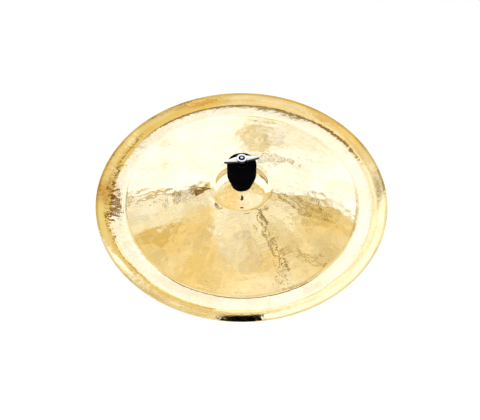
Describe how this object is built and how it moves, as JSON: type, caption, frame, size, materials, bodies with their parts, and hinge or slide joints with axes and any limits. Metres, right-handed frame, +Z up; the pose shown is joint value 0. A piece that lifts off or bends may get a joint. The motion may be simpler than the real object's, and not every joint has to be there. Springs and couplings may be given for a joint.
{
  "type": "cymbal",
  "caption": "16 inch china-type cymbal of hammered bronze with felts, wing nut and threaded rod on a friction tilter with a stand spigot.",
  "frame": {"origin": "centre of the flat lower end of the stand spigot", "axes": "+Z up along the spigot and the rod, +X towards the tilter's wing screw, which is the tilt axis; the cymbal lies level at rest"},
  "size_m": [0.4064, 0.4064, 0.1742],
  "materials": {
    "bronze": "polished",
    "felt": "matte",
    "chrome": "polished",
    "zinc_steel": "satin",
    "plated_casting": "satin",
    "nylon": "satin",
    "fibre": "matte"
  },
  "bodies": {
    "tilter_base": {"tilter_base": "plated_casting", "stand_spigot": "zinc_steel", "set_screw": "zinc_steel", "clamp_nut": "zinc_steel", "friction_disc_left": "fibre", "friction_disc_right": "fibre"},
    "tilter_head": {"tilter_head": "plated_casting", "post_rod": "zinc_steel", "jam_nut": "zinc_steel", "cup_washer": "zinc_steel"},
    "clamp_washer": {"clamp_washer": "zinc_steel"},
    "clamp_screw": {"clamp_screw": "chrome"},
    "felts": {"sleeve": "nylon", "lower_felt": "felt", "middle_felt": "felt", "upper_felt": "felt"},
    "cymbal": {"cymbal": "bronze"},
    "nut_washer": {"nut_washer": "nylon"},
    "wing_nut": {"wing_nut": "chrome"}
  },
  "joints": [
    {"name": "head_tilt", "type": "hinge", "parent": "tilter_base", "child": "tilter_head", "pos_m": [0, 0, 0.0815], "axis": [1, 0, 0], "range_deg": [-75, 75]},
    {"name": "clamp_travel", "type": "slide", "parent": "tilter_base", "child": "clamp_washer", "axis": [1, 0, 0], "range_m": [0, 0.0025]},
    {"name": "clamp_turn", "type": "hinge", "parent": "clamp_washer", "child": "clamp_screw", "pos_m": [0.014, 0, 0.0815], "axis": [1, 0, 0], "range_deg": [0, 720]},
    {"name": "cymbal_spin", "type": "hinge", "parent": "tilter_head", "child": "felts", "pos_m": [0, 0, 0.12905], "axis": [0, 0, 1], "continuous": true},
    {"name": "cymbal_rock", "type": "hinge", "parent": "felts", "child": "cymbal", "pos_m": [0, 0, 0.12905], "axis": [1, 0, 0], "range_deg": [-8, 8], "deforming": ["lower_felt", "middle_felt"]},
    {"name": "nut_travel", "type": "slide", "parent": "tilter_head", "child": "nut_washer", "axis": [0, 0, 1], "range_m": [0, 0.00375]},
    {"name": "nut_turn", "type": "hinge", "parent": "nut_washer", "child": "wing_nut", "pos_m": [0, 0, 0.1642], "axis": [0, 0, 1], "range_deg": [0, 1080]}
  ],
  "couplings": [
    {"joint": "clamp_turn", "follows": "clamp_travel", "rad_per_m": 5026.5},
    {"joint": "nut_turn", "follows": "nut_travel", "rad_per_m": 5026.5}
  ]
}
